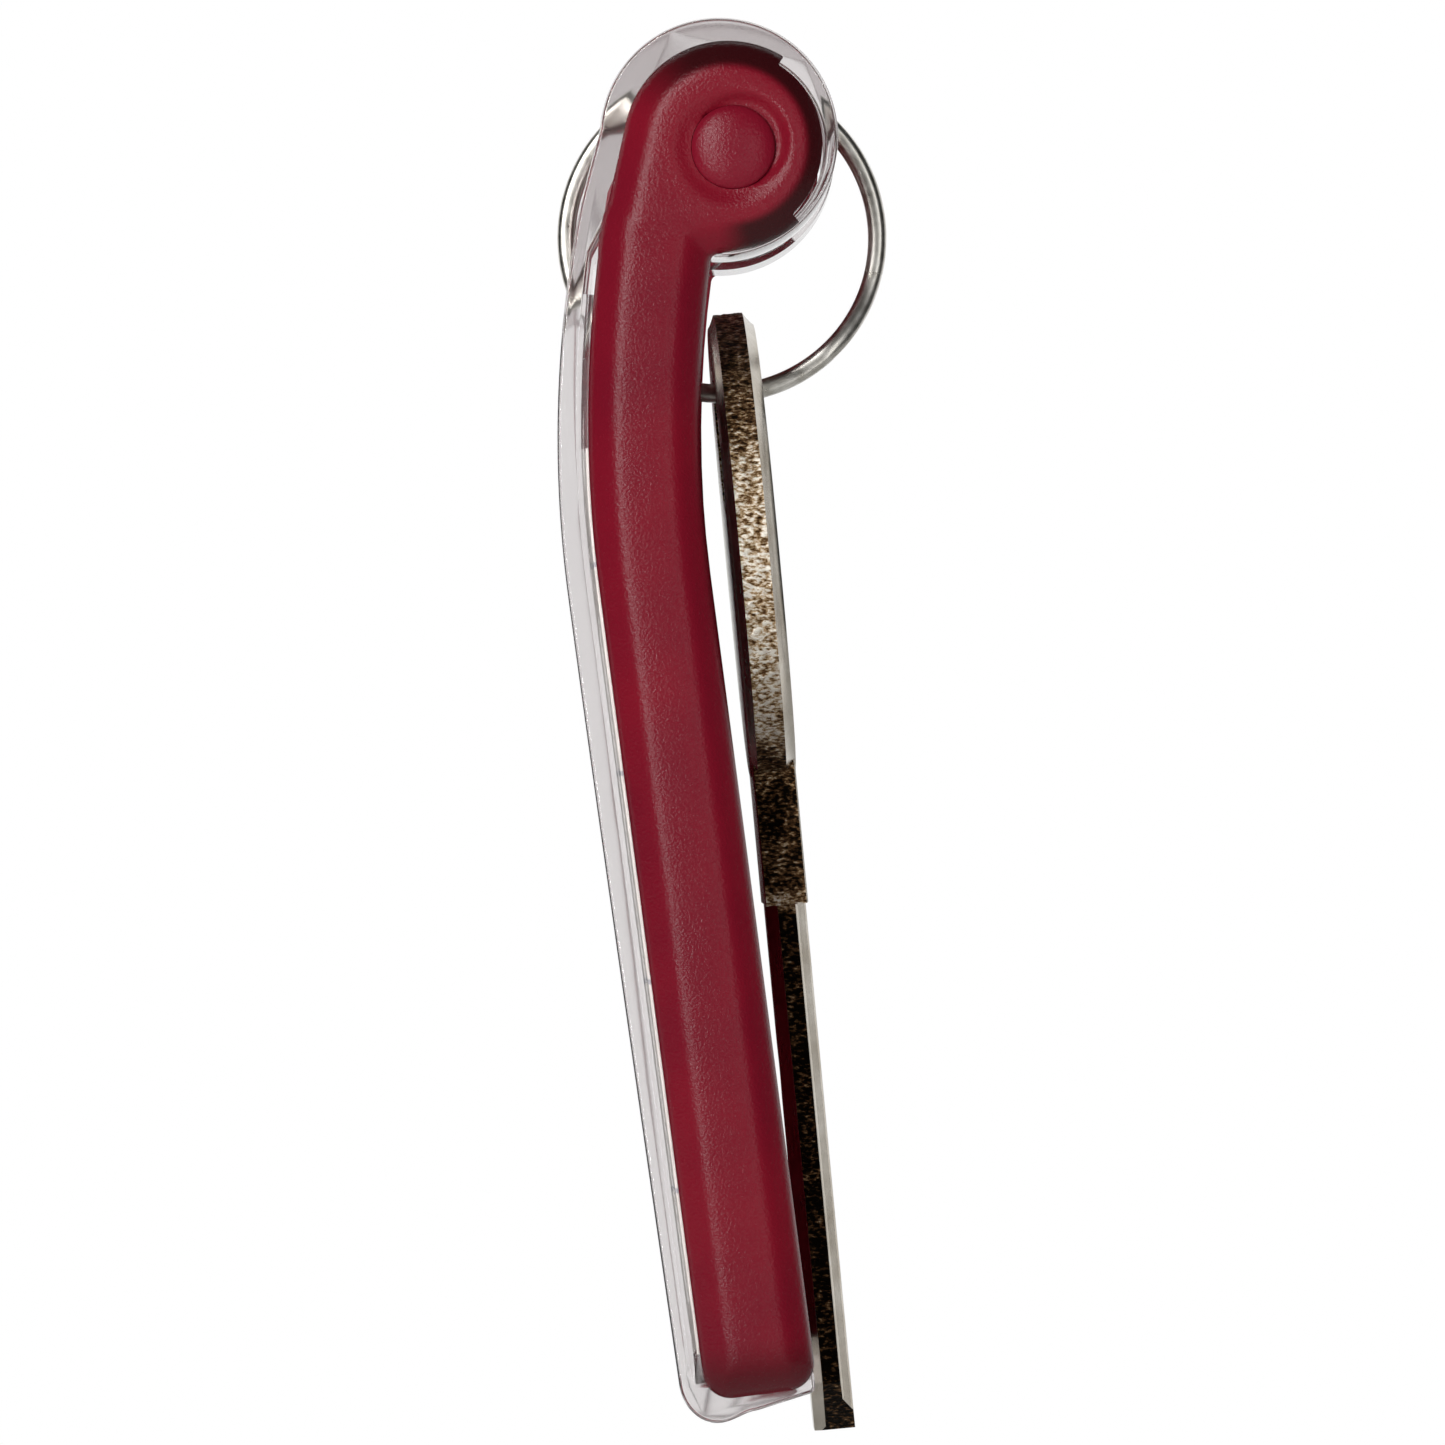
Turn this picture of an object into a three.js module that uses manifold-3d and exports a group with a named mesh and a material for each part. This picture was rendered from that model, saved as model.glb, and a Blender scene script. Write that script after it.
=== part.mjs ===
// A moulded key tag with a hinged clear cover over a paper label, a steel split ring through its
// hanging eye, and a cylinder key on the ring. Millimetres, +Z up as the tag hangs.
//
// The origin is on the axis of the cross bar that the ring hangs on, which is also the cover's hinge
// axis and runs along X. The window faces -Y, the key hangs behind the tag at +Y.
//
// The tag's side profile follows a spine in the YZ plane: straight from the lower end up to the bend,
// then one arc that carries it back over to the head. Every layer of the tag is a band at a stated
// distance from that spine, negative towards the window.

import * as THREE from 'three';
import { mergeVertices } from 'three/addons/utils/BufferGeometryUtils.js';
import Module from 'manifold-3d';

const wasm = await Module();
wasm.setup();

// ---- driving dimensions -------------------------------------------------------------------------

const SPINE = { arcY: 56.0, arcZ: -13.0, radius: 60.0, lean: THREE.MathUtils.degToRad(7.5) };
const BODY = { length: 39.15, halfWidth: 13.0, wall: 1.6, halfDepth: 2.68, corner: 1.35, round: 0.45 };
const WEB = { front: -2.45, back: -1.05, end: 37.4, top: -16.3, belowEye: -8.2, crossWall: 1.3,
  crossBack: 1.7 };
const HEAD = { flange: 5.0, journal: 4.35, bar: 3.0, scroll: 3.7, flangeOuter: 12.2, notchRadius: 4.5 };
const HEAD_NOTCH = { from: THREE.MathUtils.degToRad(-47), to: THREE.MathUtils.degToRad(58) };
const PIN = { radius: 2.0, bore: 2.2, moat: 2.4, moatDepth: 0.7, dome: 0.35, y: 0.25, z: -0.13 };
const EYE = { halfWidth: 4.2, gap: 0.45 };
const COVER = { halfWidth: 11.0, rim: 0.9, front: -4.25, frontLow: -3.87, inner: -3.1, bottom: 38.2,
  rimBack: -2.6 };
const ROLL = { y: -0.43, z: 0.45, outer: 5.7, inner: 4.6, tail: THREE.MathUtils.degToRad(-96) };
const FOOT = { wall: 38.5, base: 39.93, lip: 40.3, lipAt: -2.1, baseAt: -0.3, back: 2.6, backEnd: 39.46 };
const BLADE_GAP = { halfWidth: 5.6, from: 3.2 };
const LABEL = { halfWidth: 9.8, front: -2.92, back: -2.67, start: -6.5, end: 37.0 };
const RING = { y: -0.29, z: -3.89, inner: 7.15, outer: 8.04, coil: 0.82, pitch: 0.94 };
const RING_CUT = { at: THREE.MathUtils.degToRad(-30), cross: 0.34, trim: 0.3 };
const KEY = { hang: THREE.MathUtils.degToRad(5.4), twist: THREE.MathUtils.degToRad(0.9), thick: 2.2 };
const BOW = { top: 3.72, radiusX: 11.9, radiusW: 11.6, bevel: 0.5, hole: 3.3, holeTop: 6.82 };
const SHANK = { neck: 4.9, shoulder: 32.65, blade: 4.25, tip: 58.35 };

// ---- solids ---------------------------------------------------------------------------------------

// A closed geometry as a solid that can be joined and cut.
function solid(geometry) {
  geometry.deleteAttribute('normal');
  geometry.deleteAttribute('uv');
  const merged = mergeVertices(geometry, 1e-5);
  return new wasm.Manifold(new wasm.Mesh({
    numProp: 3,
    vertProperties: new Float32Array(merged.attributes.position.array),
    triVerts: new Uint32Array(merged.index.array),
  }));
}

function geometryOf(manifold) {
  const mesh = manifold.getMesh();
  const geometry = new THREE.BufferGeometry();
  geometry.setAttribute('position', new THREE.BufferAttribute(mesh.vertProperties, 3));
  geometry.setIndex(new THREE.BufferAttribute(mesh.triVerts, 1));
  geometry.computeVertexNormals();
  return geometry;
}

const unite = (parts) => parts.reduce((sum, part) => sum.add(part));

// An outline of [y, z] points, extruded along X from xFrom to xTo. A bevel rounds both end edges.
function slab(points, xFrom, xTo, bevel = 0) {
  const shape = new THREE.Shape(points.map(([y, z]) => new THREE.Vector2(y, z)));
  const geometry = new THREE.ExtrudeGeometry(shape, {
    depth: xTo - xFrom - 2 * bevel,
    bevelEnabled: bevel > 0,
    bevelThickness: bevel,
    bevelSize: bevel,
    bevelOffset: -bevel,
    bevelSegments: 2,
  });
  geometry.translate(0, 0, xFrom + bevel);
  geometry.applyMatrix4(new THREE.Matrix4().set(0, 0, 1, 0, 1, 0, 0, 0, 0, 1, 0, 0, 0, 0, 0, 1));
  return solid(geometry);
}

function box(xFrom, xTo, yFrom, yTo, zFrom, zTo) {
  const geometry = new THREE.BoxGeometry(xTo - xFrom, yTo - yFrom, zTo - zFrom);
  geometry.translate((xFrom + xTo) / 2, (yFrom + yTo) / 2, (zFrom + zTo) / 2);
  return solid(geometry);
}

// Points on a circle about [y, z], from one angle to another, measured from +Y towards +Z.
function arc(y, z, radius, from, to, steps) {
  return Array.from({ length: steps + 1 }, (_, i) => {
    const angle = from + ((to - from) * i) / steps;
    return [y + radius * Math.cos(angle), z + radius * Math.sin(angle)];
  });
}

const disc = (y, z, radius, steps = 48) => arc(y, z, radius, 0, 2 * Math.PI, steps).slice(0, steps);

// The same solid on both sides of the tag.
const bothSides = (part) => part.add(part.mirror([1, 0, 0]));

// ---- the tag's spine --------------------------------------------------------------------------------

// The point at a distance along the spine and an offset from it. The distance is positive down the
// straight stretch and negative up the arc; the offset is positive towards the back.
function spine(distance, offset) {
  const turn = SPINE.lean - Math.max(0, -distance) / SPINE.radius;
  const radius = SPINE.radius - offset;
  const down = Math.max(0, distance);
  return [
    SPINE.arcY - radius * Math.cos(turn) + down * Math.sin(SPINE.lean),
    SPINE.arcZ - radius * Math.sin(turn) - down * Math.cos(SPINE.lean),
  ];
}

// A line of points beside the spine; the straight stretch has points at its two ends only.
function beside(offset, from, to, offsetAtEnd = offset) {
  const arcSteps = from < 0 ? 9 : 1;
  const arcLength = Math.min(0, to) - from;
  const points = Array.from({ length: arcSteps }, (_, i) => spine(from + (arcLength * i) / arcSteps, offset));
  if (from < 0 && to > 0) {
    points.push(spine(0, offset));
  }
  points.push(spine(to, offsetAtEnd));
  return points;
}

const band = (front, back, from, to) => [...beside(front, from, to), ...beside(back, from, to).reverse()];

// ---- body -------------------------------------------------------------------------------------------

// One side wall: a band with rounded lower corners that curls over into a scroll round the pin.
function flank() {
  const inner = BODY.halfWidth - BODY.wall;
  const { halfDepth, corner, length, round } = BODY;
  const armTop = -18.2;
  const front = beside(-halfDepth, armTop, length - corner);
  const back = beside(halfDepth, armTop, length - corner).reverse();
  const bottom = [0.3, 0.7].map((t) => spine(length - corner * (1 - t), -halfDepth + corner * t * t));
  const foot = [spine(length, -halfDepth + corner), spine(length, halfDepth - corner)];
  const heel = [0.7, 0.3].map((t) => spine(length - corner * (1 - t), halfDepth - corner * t * t));
  const crown = [[-2.4, 2.8], [-4.3, 1.0]];
  const outline = [...crown, ...front, ...bottom, ...foot, ...heel, ...back];
  const arm = slab(outline, inner - 1, BODY.halfWidth, round);
  const scroll = slab(disc(0.05, 0, HEAD.scroll), inner - 1, BODY.halfWidth, round);
  const flange = slab(disc(0, 0, HEAD.flange), inner, HEAD.flangeOuter);
  const notch = slab([
    ...arc(0, 0, HEAD.notchRadius, HEAD_NOTCH.from, HEAD_NOTCH.to, 16),
    ...arc(0, 0, HEAD.flange + 1, HEAD_NOTCH.to, HEAD_NOTCH.from, 16),
  ], inner - 2, BODY.halfWidth + 1);
  const wall = unite([arm, scroll, flange]).subtract(notch);
  return wall.subtract(box(0, inner, -12, 12, -70, 12));
}

// The web behind the label, with cross walls at the back of the tag below the eye and at the foot.
function web() {
  const reach = BODY.halfWidth - BODY.wall + 0.3;
  const { end } = WEB;
  const plate = slab(band(WEB.front, WEB.back, WEB.top, end), -reach, reach);
  const belowEye = band(WEB.front, WEB.crossBack, WEB.belowEye, WEB.belowEye + WEB.crossWall);
  const upper = slab(belowEye, -reach, reach);
  const lower = slab(band(WEB.front, WEB.crossBack, end - WEB.crossWall, end), -reach, reach);
  const eye = slab(disc(RING.y, RING.z, RING.outer + EYE.gap), -EYE.halfWidth, EYE.halfWidth);
  return unite([plate, upper, lower]).subtract(eye);
}

function tagBody() {
  const journalEnd = BODY.halfWidth - BODY.wall + 0.3;
  const bar = slab(disc(0, 0, HEAD.bar), -journalEnd, journalEnd);
  const journal = slab(disc(0, 0, HEAD.journal), EYE.halfWidth, journalEnd);
  const bore = slab(disc(PIN.y, PIN.z, PIN.bore, 32), -BODY.halfWidth - 1, BODY.halfWidth + 1);
  const moat = slab(disc(PIN.y, PIN.z, PIN.moat, 32), BODY.halfWidth - PIN.moatDepth, BODY.halfWidth + 1);
  return unite([bothSides(flank()), web(), bar, bothSides(journal)])
    .subtract(bore)
    .subtract(bothSides(moat));
}

// ---- hinge pin --------------------------------------------------------------------------------------

function hingePin() {
  const end = BODY.halfWidth - 0.1;
  const dome = [0, 0.35, 0.7, 1].map((t) => [PIN.radius * t, end + PIN.dome * (1 - t * t)]);
  const profile = [...dome, ...dome.map(([r, x]) => [r, -x]).reverse()];
  const geometry = new THREE.LatheGeometry(profile.reverse().map(([r, x]) => new THREE.Vector2(r, x)), 32);
  geometry.rotateZ(-Math.PI / 2);
  geometry.translate(0, PIN.y, PIN.z);
  return solid(geometry);
}

// ---- clear cover ------------------------------------------------------------------------------------

// The foot's outer face: round at the front, down to the thumb lip, then a shallow wave up to the hook
// behind it. Distances are along the spine, offsets across it.
function footOutline() {
  const { base, lip, lipAt, baseAt, back, backEnd, wall } = FOOT;
  const heel = lipAt - COVER.frontLow;
  const rise = lip - 38.2;
  const round = [0.85, 0.6, 0.35, 0.12].map((t) => [38.2 + rise * Math.sqrt(1 - t * t), lipAt - heel * t]);
  const wave = [0, 0.35, 0.65, 1].map((t) => [
    base + ((lip - base) * (1 + Math.cos(Math.PI * t))) / 2,
    lipAt + (baseAt - lipAt) * t,
  ]);
  const hook = [[backEnd, back - 0.4], [backEnd - 0.3, back], [wall - 0.1, back], [wall, back - 0.3]];
  return [...round, ...wave, ...hook].map(([distance, offset]) => spine(distance, offset));
}

// The cover's outline from the side: the roll round the head, the window plate and the foot.
function coverOutline() {
  const { front, frontLow, inner, bottom } = COVER;
  const outerRoll = arc(ROLL.y, ROLL.z, ROLL.outer, ROLL.tail, Math.PI * 0.985, 30);
  const innerRoll = arc(0, 0, ROLL.inner, Math.PI * 1.06, ROLL.tail, 30);
  const neck = spine(-18.6, -3.86);
  const outerPlate = beside(front, -15.4, bottom, frontLow);
  const innerPlate = beside(inner, -15.4, FOOT.wall).reverse();
  return [...outerRoll, neck, ...outerPlate, ...footOutline(), ...innerPlate, ...innerRoll];
}

function clearCover() {
  const { halfWidth, rim, inner, rimBack } = COVER;
  const shell = slab(coverOutline(), -halfWidth, halfWidth);
  const rimStrip = slab(band(inner - 0.3, rimBack, -13.5, FOOT.wall + 0.3), halfWidth - rim, halfWidth);
  const slot = slab(disc(RING.y, RING.z, RING.outer + EYE.gap), -EYE.halfWidth, EYE.halfWidth);
  const overHead = slab(disc(0, 0, HEAD.flange + 2.5), -EYE.halfWidth, EYE.halfWidth);
  const { halfWidth: gap, from } = BLADE_GAP;
  const forBlade = box(-gap, gap, from, from + 3, -63, -56);
  return shell.add(bothSides(rimStrip)).subtract(slot).subtract(overHead).subtract(forBlade);
}

// ---- label ------------------------------------------------------------------------------------------

function labelInsert() {
  return slab(band(LABEL.front, LABEL.back, LABEL.start, LABEL.end), -LABEL.halfWidth, LABEL.halfWidth);
}

// ---- split ring -------------------------------------------------------------------------------------

// Flat wire wound two turns. Each turn lies flat, and the wire steps across to the other turn beside
// its own two ends.
function splitRing() {
  const steps = 120;
  const from = RING_CUT.trim;
  const to = 4 * Math.PI - RING_CUT.trim;
  const corners = [[RING.inner, 1], [RING.outer, 1], [RING.outer, -1], [RING.inner, -1]];
  const positions = [];
  for (let i = 0; i <= steps; i += 1) {
    const turn = from + ((to - from) * i) / steps;
    const across = THREE.MathUtils.smoothstep(
      turn, 2 * Math.PI - RING_CUT.cross, 2 * Math.PI + RING_CUT.cross);
    const centre = (across - 0.5) * RING.pitch;
    const angle = RING_CUT.at - turn;
    for (const [radius, side] of corners) {
      const x = centre + (side * RING.coil) / 2;
      positions.push(x, RING.y + radius * Math.cos(angle), RING.z + radius * Math.sin(angle));
    }
  }
  const index = [0, 1, 2, 0, 2, 3];
  for (let i = 0; i < steps; i += 1) {
    for (let k = 0; k < 4; k += 1) {
      const a = 4 * i + k;
      const b = 4 * i + ((k + 1) % 4);
      index.push(a, a + 4, b, b, a + 4, b + 4);
    }
  }
  const last = 4 * steps;
  index.push(last, last + 2, last + 1, last, last + 3, last + 2);
  const geometry = new THREE.BufferGeometry();
  geometry.setAttribute('position', new THREE.Float32BufferAttribute(positions, 3));
  geometry.setIndex(index);
  return geometry;
}

// ---- key --------------------------------------------------------------------------------------------

// An outline of [x, w] points, w measured down the key from the ring's centre, given a thickness
// along Y.
function keyPlate(points, thick, bevel = 0) {
  const shape = new THREE.Shape(points.map(([x, w]) => new THREE.Vector2(x, -w)));
  const geometry = new THREE.ExtrudeGeometry(shape, {
    depth: thick - 2 * bevel,
    bevelEnabled: bevel > 0,
    bevelThickness: bevel,
    bevelSize: bevel,
    bevelOffset: -bevel,
    bevelSegments: 1,
  });
  geometry.translate(0, 0, -thick / 2 + bevel);
  geometry.rotateX(Math.PI / 2);
  return solid(geometry);
}

// A round bow that is a little squarer than an ellipse.
function bowOutline() {
  const centre = BOW.top + BOW.radiusW;
  const power = 0.88;
  const soften = (value) => Math.sign(value) * Math.abs(value) ** power;
  return Array.from({ length: 44 }, (_, i) => {
    const angle = (2 * Math.PI * i) / 44;
    return [BOW.radiusX * soften(Math.sin(angle)), centre - BOW.radiusW * soften(Math.cos(angle))];
  });
}

// The blade's cross-section: a thin spine at +X, a full-thickness rib, and a keyway groove in each face.
function bladeSection() {
  const half = KEY.thick / 2 - 0.1;
  return [
    [SHANK.blade, -0.45], [SHANK.blade, 0.45], [3.3, 0.45], [3.0, half], [1.1, half], [0.6, 0.1],
    [-0.7, 0.1], [-1.2, half], [-2.9, half], [-SHANK.blade, 0.35], [-SHANK.blade, -0.45], [-2.3, -0.45],
    [-1.9, -half], [1.6, -half], [2.1, -0.45],
  ];
}

function blade() {
  const shape = new THREE.Shape(bladeSection().map(([x, y]) => new THREE.Vector2(x, y)));
  const from = SHANK.shoulder - 1;
  const geometry = new THREE.ExtrudeGeometry(shape, { depth: SHANK.tip - from, bevelEnabled: false });
  geometry.translate(0, 0, -SHANK.tip);
  const bar = solid(geometry);
  const cuts = [2.0, 3.2, 1.4, 2.8, 2.1].map((depth, i) => {
    const w = SHANK.shoulder + 4.6 + 3.6 * i;
    const edge = -SHANK.blade;
    const slope = 1.1 * (depth + 0.6);
    return keyPlate([[edge - 0.6, w - slope], [edge + depth, w - 0.4], [edge + depth, w + 0.4],
      [edge - 0.6, w + slope]], 5);
  });
  const nose = keyPlate([[-6, SHANK.tip + 1], [-6, SHANK.tip - 4.4], [-1.2, SHANK.tip + 0.02],
    [-1.2, SHANK.tip + 1]], 5);
  const brow = keyPlate([[6, SHANK.tip + 1], [6, SHANK.tip - 4.2], [1.9, SHANK.tip + 0.02],
    [1.9, SHANK.tip + 1]], 5);
  return bar.subtract(unite([...cuts, nose, brow]));
}

function key() {
  const bowEnd = BOW.top + 2 * BOW.radiusW;
  const bow = keyPlate(bowOutline(), KEY.thick, BOW.bevel);
  const neck = keyPlate([[-SHANK.neck, bowEnd - 2.6], [SHANK.neck, bowEnd - 2.6],
    [SHANK.neck, SHANK.shoulder], [-SHANK.neck - 0.8, SHANK.shoulder]], KEY.thick - 0.1);
  const hole = keyPlate(disc(0, BOW.holeTop + BOW.hole, BOW.hole, 32), 5);
  return unite([bow, neck, blade()]).subtract(hole);
}

// ---- assembly ---------------------------------------------------------------------------------------

function part(name, geometry, color, roughness, metalness = 0, extra = {}) {
  const material = new THREE.MeshStandardMaterial({ color, roughness, metalness, ...extra });
  const mesh = new THREE.Mesh(geometry, material);
  mesh.name = name;
  return mesh;
}

const tag = new THREE.Group();
tag.add(part('tag_body', geometryOf(tagBody()), '#7a1e29', 0.45));
tag.add(part('hinge_pin', geometryOf(hingePin()), '#751f28', 0.4));
tag.add(part('clear_cover', geometryOf(clearCover()), '#cac9c9', 0.1, 0,
  { transparent: true, opacity: 0.45 }));
tag.add(part('label_insert', geometryOf(labelInsert()), '#f2f0ea', 0.8));
tag.add(part('split_ring', splitRing(), '#b9b6b1', 0.25, 1));

// The key hangs square to the wire, a little behind the ring's lowest point, turned slightly on it.
const keyHanger = new THREE.Group();
keyHanger.position.set(0, RING.y, RING.z);
keyHanger.rotation.x = KEY.hang;
const keyMesh = part('key', geometryOf(key()), '#c2baaf', 0.3, 1);
keyMesh.rotation.z = KEY.twist;
keyHanger.add(keyMesh);
tag.add(keyHanger);

export default tag;
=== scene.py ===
"""The looks of a moulded key tag: red satin body, clear hinged cover over a paper label, a steel
split ring through the eye and a nickel-plated key. Lengths in the helpers are millimetres in the
CAD frame: X across the tag, -Y out of the window, +Z up. make_mesh turns them into metres."""

import bmesh
import bpy
import numpy as np
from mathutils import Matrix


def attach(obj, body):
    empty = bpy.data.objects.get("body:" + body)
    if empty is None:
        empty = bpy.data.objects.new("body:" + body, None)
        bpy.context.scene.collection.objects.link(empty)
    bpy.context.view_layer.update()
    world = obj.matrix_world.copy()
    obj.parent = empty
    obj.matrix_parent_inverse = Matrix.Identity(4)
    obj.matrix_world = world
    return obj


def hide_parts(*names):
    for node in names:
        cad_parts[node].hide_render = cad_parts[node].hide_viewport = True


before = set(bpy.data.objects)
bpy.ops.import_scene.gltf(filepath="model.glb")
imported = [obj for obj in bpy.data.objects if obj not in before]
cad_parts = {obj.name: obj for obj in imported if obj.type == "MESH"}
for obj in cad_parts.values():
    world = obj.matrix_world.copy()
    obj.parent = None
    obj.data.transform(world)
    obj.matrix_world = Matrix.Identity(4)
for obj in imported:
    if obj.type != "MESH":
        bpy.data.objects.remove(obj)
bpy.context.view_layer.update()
MM = 0.001

# ---- sizes, in millimetres, as in the CAD ------------------------------------------------------

LEAN = np.radians(7.5)
ARC_Y, ARC_Z, ARC_R = 56.0, -13.0, 60.0
HALF_WIDTH, WALL = 13.0, 1.6
HALF_DEPTH, BODY_END, BODY_CORNER = 2.68, 39.15, 1.35
ARM_TOP = -18.2
FLANGE_R, NOTCH_R = 5.0, 4.5
NOTCH_FROM, NOTCH_TO = -47, 58  # degrees round the head
WALL_FACE = HALF_WIDTH - WALL + 0.1  # the side wall's inner face
CORE_HALF = HALF_WIDTH - WALL + 0.2  # the core reaches a little into the side walls
PIN_Y, PIN_Z, PIN_R = 0.25, -0.13, 2.0
PIN_TIP, PIN_RIM, PIN_DOME, PIN_STEM = 13.23, 12.70, 0.53, 12.3
RING_Y, RING_Z, RING_IN, RING_OUT = -0.29, -3.89, 7.15, 8.04
WIRE_HALF, TURN_PITCH, CROSSOVER = 0.41, 0.94, 0.34
COVER_HALF, COVER_EDGE, COVER_RIM = 11.0, 0.18, 0.9
COVER_FRONT, COVER_INNER, COVER_END = -4.22, -3.1, 38.2
EYE_HALF = 4.2
LABEL_HALF, LABEL_TOP, LABEL_END = 9.8, -6.5, 37.0
LABEL_FRONT, LABEL_BACK = -2.9, -2.69
KEY_HANG, KEY_TWIST, KEY_THICK = np.radians(5.4), np.radians(0.9), 2.2
BOW_TOP, BOW_RX, BOW_RW = 3.72, 11.9, 11.6
SHOULDER, TIP, BLADE_HALF, NECK_HALF = 32.65, 58.35, 4.25, 4.9
HOLE_R, HOLE_DOWN = 3.3, 10.12
CUT_DEPTHS, FIRST_CUT, CUT_PITCH = (2.0, 3.2, 1.4, 2.8, 2.1), 4.6, 3.6
TAG_MIDDLE = -0.0276  # metres, the height that the lights face
WELD = 0.0004 * MM  # points nearer than this are one point


# ---- small maths ----------------------------------------------------------------------------------

def spine(distance, offset):
    """A point beside the tag's spine: straight down the leaning stretch for a positive distance,
    round an arc of radius ARC_R for a negative one, and offset towards the back of the tag."""
    distance, offset = np.broadcast_arrays(np.asarray(distance, float), np.asarray(offset, float))
    turn = LEAN - np.maximum(0, -distance) / ARC_R
    down = np.maximum(0, distance)
    y = ARC_Y - (ARC_R - offset) * np.cos(turn) + down * np.sin(LEAN)
    z = ARC_Z - (ARC_R - offset) * np.sin(turn) - down * np.cos(LEAN)
    return y, z


def arc(y, z, radius, start, end, steps):
    """Points on a circle about (y, z) from one angle to another, measured from +Y towards +Z."""
    angle = np.linspace(start, end, steps)
    return np.column_stack([y + radius * np.cos(angle), z + radius * np.sin(angle)])


def beside(offset, start, end, steps):
    """Points along the spine at an offset, which may be an array that changes along the way."""
    return np.column_stack(spine(np.linspace(start, end, steps), offset))


def smooth_max(a, b, width):
    """The larger of a and b, with the crease between them rounded over the given width."""
    blend = np.clip(0.5 + (a - b) / (2 * width), 0, 1)
    return b + (a - b) * blend + width * blend * (1 - blend)


def smooth_step(low, high, value):
    """0 below low, 1 above high, and an S-curve between."""
    t = np.clip((value - low) / (high - low), 0, 1)
    return t * t * (3 - 2 * t)


def edge_drop(depth, width, height):
    """How far a rounded edge falls: a quarter ellipse, the full height at depth 0 and 0 at width."""
    t = 1 - np.clip(depth / width, 0, 1)
    return height * (1 - np.sqrt(np.maximum(0, 1 - t * t)))


def lumps(x, y, cell, seed):
    """Smooth random heights from -1 to 1: seeded values on a square lattice, blended between its
    points with S-curves."""
    table = np.random.default_rng(seed).uniform(-1, 1, (64, 64))
    u, v = x / cell, y / cell
    i, j = np.floor(u).astype(int), np.floor(v).astype(int)
    fu, fv = smooth_step(0, 1, u - i), smooth_step(0, 1, v - j)
    low = table[i % 64, j % 64] * (1 - fu) + table[(i + 1) % 64, j % 64] * fu
    high = table[i % 64, (j + 1) % 64] * (1 - fu) + table[(i + 1) % 64, (j + 1) % 64] * fu
    return low * (1 - fv) + high * fv


# ---- meshes ---------------------------------------------------------------------------------------

def make_mesh(name, points, faces, materials, sharp=40):
    """A closed mesh from points in millimetres and a list of face arrays. Normals are made to point
    out, and edges sharper than the given angle stay crisp."""
    mesh = bpy.data.meshes.new(name)
    mesh.from_pydata((np.asarray(points) * MM).tolist(), [], [f.tolist() for part in faces for f in part])
    for material in materials:
        mesh.materials.append(material)
    work = bmesh.new()
    work.from_mesh(mesh)
    bmesh.ops.recalc_face_normals(work, faces=work.faces)
    work.to_mesh(mesh)
    work.free()
    mesh.polygons.foreach_set("use_smooth", np.ones(len(mesh.polygons), bool))
    mesh.set_sharp_from_angle(angle=np.radians(sharp))
    piece = bpy.data.objects.new(name, mesh)
    bpy.context.scene.collection.objects.link(piece)
    return piece


def grid_quads(rows, columns, wrap_columns=False):
    """Quads of a grid of rows by columns points, whose last column may join its first."""
    r, c = np.meshgrid(np.arange(rows - 1), np.arange(columns - (not wrap_columns)), indexing="ij")
    next_c = (c + 1) % columns
    quads = [r * columns + c, r * columns + next_c, (r + 1) * columns + next_c, (r + 1) * columns + c]
    return np.stack(quads, -1).reshape(-1, 4)


def capped(rings):
    """Faces of a stack of equal rings of points, given as an array of rings by points by 3: quads
    between the rings and one flat face over each end."""
    count, size = rings.shape[:2]
    ends = np.arange(size)
    return [grid_quads(count, size, True), [ends[::-1]], [ends + (count - 1) * size]]


def inward(outline):
    """The unit normals of a closed outline, pointing in."""
    ahead, behind = np.roll(outline, -1, 0), np.roll(outline, 1, 0)
    tangent = ahead - behind
    area = np.sum(outline[:, 0] * ahead[:, 1] - outline[:, 1] * ahead[:, 0])
    normal = np.sign(area) * np.column_stack([-tangent[:, 1], tangent[:, 0]])
    return normal / (np.linalg.norm(normal, axis=1, keepdims=True) + 1e-12)


def inset(outline, amount):
    """An outline moved in by an amount. Points that come too near another stretch of it, as they do
    round a corner, are spread between the good points on either side."""
    moved = outline + inward(outline) * amount
    gap = np.linalg.norm(moved[:, None] - outline[None], axis=2).min(1)
    good = gap >= 0.97 * amount
    index = np.arange(len(outline))
    return np.column_stack([np.interp(index, index[good], moved[good, k], period=len(outline))
                            for k in (0, 1)])


def prism(outline, x_low, x_high, rounding=0.0, stations=5):
    """A (y, z) outline carried along X. At each end it shrinks along a quarter circle, so the end
    edges are rounded."""
    turn = np.linspace(0, np.pi / 2, stations) if rounding else np.array([np.pi / 2])
    shrink = rounding * (1 - np.sin(turn))
    depth = rounding * (1 - np.cos(turn))
    x = np.concatenate([x_low + depth, (x_high - depth)[::-1]])
    rings = [np.column_stack([np.full(len(outline), xi), inset(outline, si)])
             for xi, si in zip(x, np.concatenate([shrink, shrink[::-1]]))]
    rings = np.array(rings)
    return rings.reshape(-1, 3), capped(rings)


def cut_or_join(piece, others, operation):
    """Cuts the other meshes out of a piece, joins them to it or keeps what they share, and removes
    them."""
    for other in others:
        modifier = piece.modifiers.new("solid", "BOOLEAN")
        modifier.operation = operation
        modifier.object = other
        modifier.solver = "EXACT"
    settle(piece)
    for other in others:
        bpy.data.objects.remove(other)


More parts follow.
